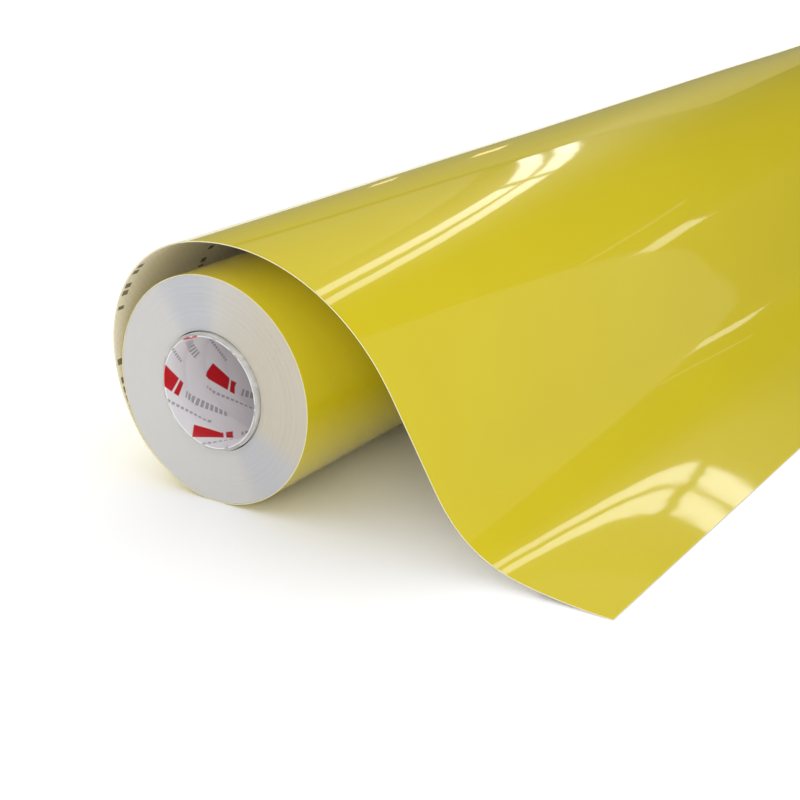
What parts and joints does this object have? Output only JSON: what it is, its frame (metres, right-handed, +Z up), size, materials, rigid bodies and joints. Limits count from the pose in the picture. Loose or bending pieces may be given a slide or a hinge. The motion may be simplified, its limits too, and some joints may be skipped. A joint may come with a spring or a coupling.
{
  "type": "roll of sign vinyl",
  "caption": "Part-used roll of glossy yellow self-adhesive sign vinyl on a hollow board core, lying down with its sheet drawn off over the top onto the floor.",
  "frame": {"origin": "on the floor, under the middle of the whole object's box", "axes": "+Y along the roll's axis, +Z up, +X towards the free end of the sheet"},
  "size_m": [0.3793, 1.2654, 0.1802],
  "materials": {
    "film": "gloss",
    "liner": "satin",
    "wound_web": "satin",
    "core_print": "satin",
    "core_board": "matte",
    "tape": "satin"
  },
  "bodies": {
    "loose_turn": {"liner_loose_turn": "liner", "film_loose_turn": "film"},
    "roll": {"core_print_ply": "core_print", "core_board_ply_1": "core_board", "core_board_ply_2": "core_board", "core_outer_ply": "core_board", "core_start_tape": "tape", "winding_band_1": "wound_web", "winding_band_2": "wound_web", "winding_band_3": "wound_web", "winding_band_4": "wound_web", "winding_band_5": "wound_web", "outer_turn_liner": "liner", "outer_turn_film": "film"},
    "drape": {"liner_drape": "liner", "film_drape": "film"},
    "flap": {"liner_flap": "liner", "film_flap": "film"}
  },
  "joints": [
    {"name": "roll_spin", "type": "hinge", "parent": "loose_turn", "child": "roll", "pos_m": [-0.1044, 0, 0.07876], "axis": [0, 1, 0], "continuous": true},
    {"name": "sheet_lift", "type": "hinge", "parent": "loose_turn", "child": "drape", "pos_m": [-0.09029, 0, 0.18025], "axis": [0, -1, 0], "range_deg": [0, 38]},
    {"name": "flap_lift", "type": "hinge", "parent": "drape", "child": "flap", "pos_m": [0.09459, 0, 0.02086], "axis": [0, -1, 0], "range_deg": [0, 45]}
  ]
}
